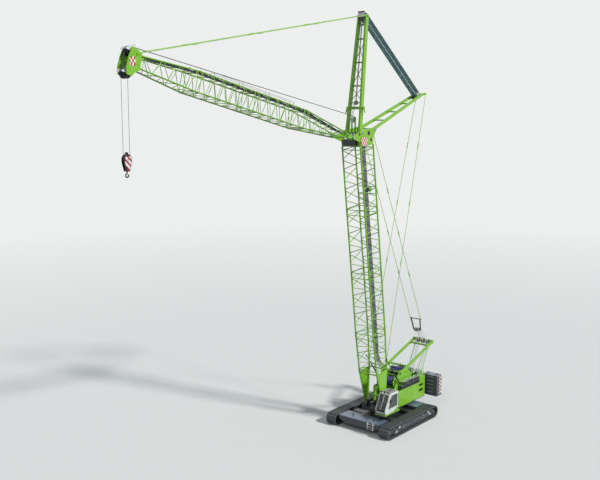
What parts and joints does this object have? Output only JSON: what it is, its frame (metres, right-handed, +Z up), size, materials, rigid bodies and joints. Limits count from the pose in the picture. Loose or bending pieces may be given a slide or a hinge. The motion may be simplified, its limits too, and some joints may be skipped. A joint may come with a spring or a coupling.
{
  "type": "crawler crane",
  "caption": "Lattice-boom crawler crane with an upright main boom, a luffing jib on two struts, a cab, a winch house and stacked rear counterweights.",
  "frame": {"origin": "on the ground, on the slewing axis midway between the tracks", "axes": "+X forward, the way the jib reaches; +Y to the cab's side; +Z up"},
  "size_m": [38.5198, 7.2, 38.5999],
  "materials": {
    "green_paint": "satin",
    "dark_paint": "satin",
    "white_paint": "satin",
    "silver_paint": "satin",
    "track_steel": "worn",
    "zinc_grating": "satin",
    "rod_chrome": "polished",
    "black_paint": "satin",
    "rope_wire": "oiled",
    "seat_plastic": "matte"
  },
  "bodies": {
    "undercarriage": {"track_left": "track_steel", "track_right": "track_steel", "track_frame_left": "dark_paint", "track_frame_right": "dark_paint", "track_rollers": "track_steel", "drive_sprockets": "track_steel", "front_idlers": "track_steel", "final_drives": "dark_paint", "car_body": "dark_paint", "ballast_slabs": "dark_paint", "access_ladder": "white_paint"},
    "superstructure": {"turning_frame": "green_paint", "house_walls": "green_paint", "engine_hoods": "silver_paint", "rear_cover": "green_paint", "engine": "black_paint", "exhaust_stacks": "black_paint", "air_cleaner": "silver_paint", "house_rails": "green_paint", "winch_tower": "green_paint", "winches": "rope_wire", "gantry": "green_paint", "gantry_sheaves": "silver_paint", "counterweight": "dark_paint", "rear_frame": "green_paint", "cab_shell": "white_paint", "operator_seat": "seat_plastic"},
    "cab_door": {"cab_door": "white_paint"},
    "boom": {"boom_base": "green_paint", "boom_section_1": "green_paint", "boom_section_2": "green_paint", "boom_section_3": "green_paint", "boom_head": "green_paint", "head_box": "black_paint", "boom_sheaves": "silver_paint", "guide_bracket": "green_paint", "rear_strut": "green_paint", "rear_stays": "green_paint", "boom_pendants": "green_paint", "bridle_frame": "black_paint"},
    "jib": {"jib_foot": "green_paint", "jib_section_1": "green_paint", "jib_section_2": "green_paint", "jib_tip": "green_paint", "jib_walkway": "zinc_grating", "jib_head": "green_paint", "rope_guards": "white_paint", "jib_head_sheaves": "black_paint"},
    "jib_strut": {"jib_strut": "green_paint", "jib_strut_sheaves": "silver_paint"},
    "jib_pendant": {"jib_pendants": "green_paint"},
    "hook_line": {"hoist_falls": "rope_wire", "hook_block": "black_paint", "hook_block_sheave": "black_paint"},
    "hook": {"hook": "black_paint"},
    "backstop_barrels": {"backstop_barrels": "green_paint"},
    "backstop_rods": {"backstop_rods": "rod_chrome"}
  },
  "joints": [
    {"name": "slew", "type": "hinge", "parent": "undercarriage", "child": "superstructure", "pos_m": [0, 0, 1.24], "axis": [0, 0, 1], "continuous": true},
    {"name": "cab_door_hinge", "type": "hinge", "parent": "superstructure", "child": "cab_door", "pos_m": [0.88, 2.334, 2.2], "axis": [0, 0, 1], "range_deg": [0, 85]},
    {"name": "boom_luff", "type": "hinge", "parent": "superstructure", "child": "boom", "pos_m": [1.3, 0, 2], "axis": [0, -1, 0], "range_deg": [-17, 4]},
    {"name": "jib_luff", "type": "hinge", "parent": "boom", "child": "jib", "pos_m": [6.6, 0, 27.7], "axis": [0, -1, 0], "range_deg": [-20, 40]},
    {"name": "jib_strut_pivot", "type": "hinge", "parent": "boom", "child": "jib_strut", "pos_m": [5.28, 0, 28.1], "axis": [0, -1, 0], "range_deg": [-21.5, 42.5]},
    {"name": "jib_pendant_pivot", "type": "hinge", "parent": "jib_strut", "child": "jib_pendant", "pos_m": [4, 0, 38.3], "axis": [0, -1, 0], "range_deg": [-4, 2.5]},
    {"name": "hook_swing", "type": "hinge", "parent": "jib", "child": "hook_line", "pos_m": [30.47, 0, 32.25], "axis": [0, -1, 0], "range_deg": [-50, 45]},
    {"name": "hook_swivel", "type": "hinge", "parent": "hook_line", "child": "hook", "pos_m": [30.5443, 0, 25.9], "axis": [0, 0, 1], "continuous": true},
    {"name": "backstop_pivot", "type": "hinge", "parent": "superstructure", "child": "backstop_barrels", "pos_m": [-1.2, 0, 3.6], "axis": [0, -1, 0], "range_deg": [-16, 5]},
    {"name": "backstop_slide", "type": "slide", "parent": "backstop_barrels", "child": "backstop_rods", "axis": [0.6277, 0, 0.7784], "range_m": [-0.25, 0.9]}
  ],
  "couplings": [
    {"joint": "jib_strut_pivot", "follows": "jib_luff", "ratio": 1.045},
    {"joint": "jib_pendant_pivot", "follows": "jib_luff", "ratio": -0.0878},
    {"joint": "backstop_pivot", "follows": "boom_luff", "ratio": 0.8562},
    {"joint": "backstop_slide", "follows": "boom_luff", "m_per_rad": -2.8997}
  ]
}
